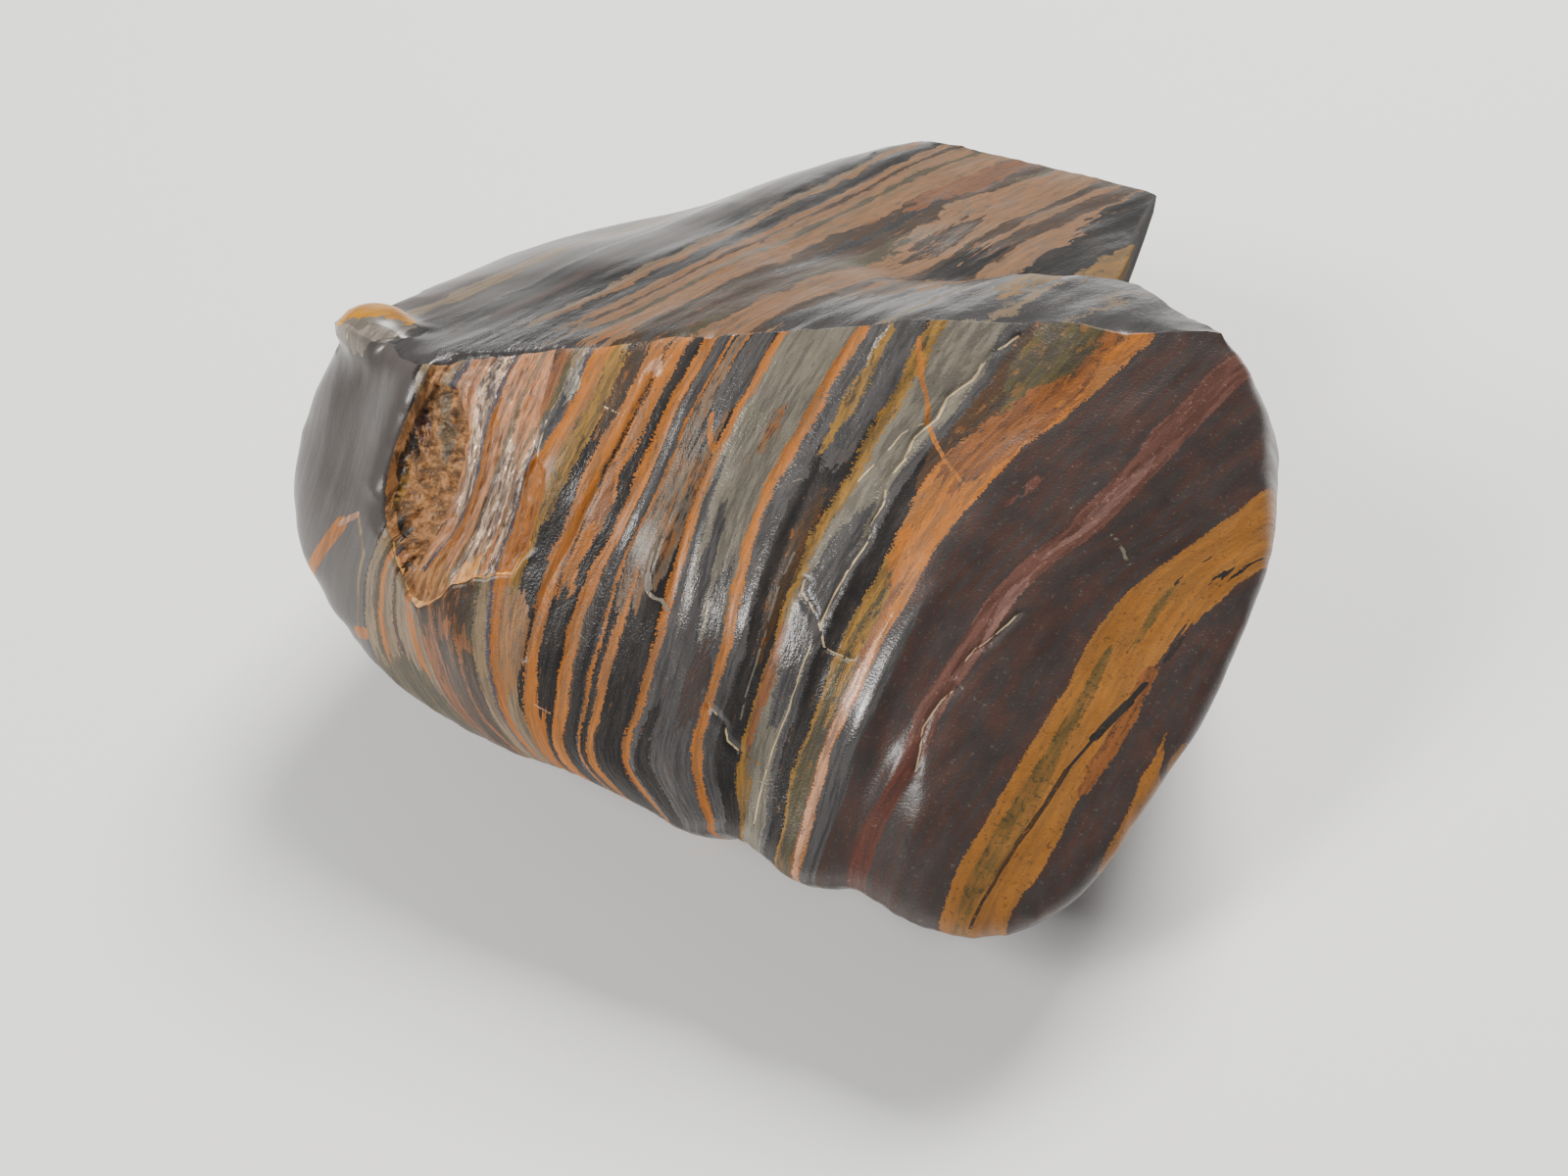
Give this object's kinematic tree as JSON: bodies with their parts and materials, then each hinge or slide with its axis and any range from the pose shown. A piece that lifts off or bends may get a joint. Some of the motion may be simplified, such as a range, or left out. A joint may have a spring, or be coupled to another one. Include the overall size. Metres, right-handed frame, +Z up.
{
  "type": "rough tiger iron",
  "caption": "Rough banded stone with a broad worn front face, a shallow flake scar, a ridged top and a notched rear crest, resting on a flat base.",
  "frame": {"origin": "bottom centre of the stone's bounding box, on the surface it rests on", "axes": "+Z up, broad banded face towards -Y, rear crest's free tip towards +X"},
  "size_m": [0.07, 0.0686, 0.0364],
  "materials": {
    "tiger_iron": "worn, waxy sheen, banded orange, red-brown and dark grey"
  },
  "bodies": {
    "root": {"tiger_iron": "tiger_iron"}
  },
  "joints": []
}
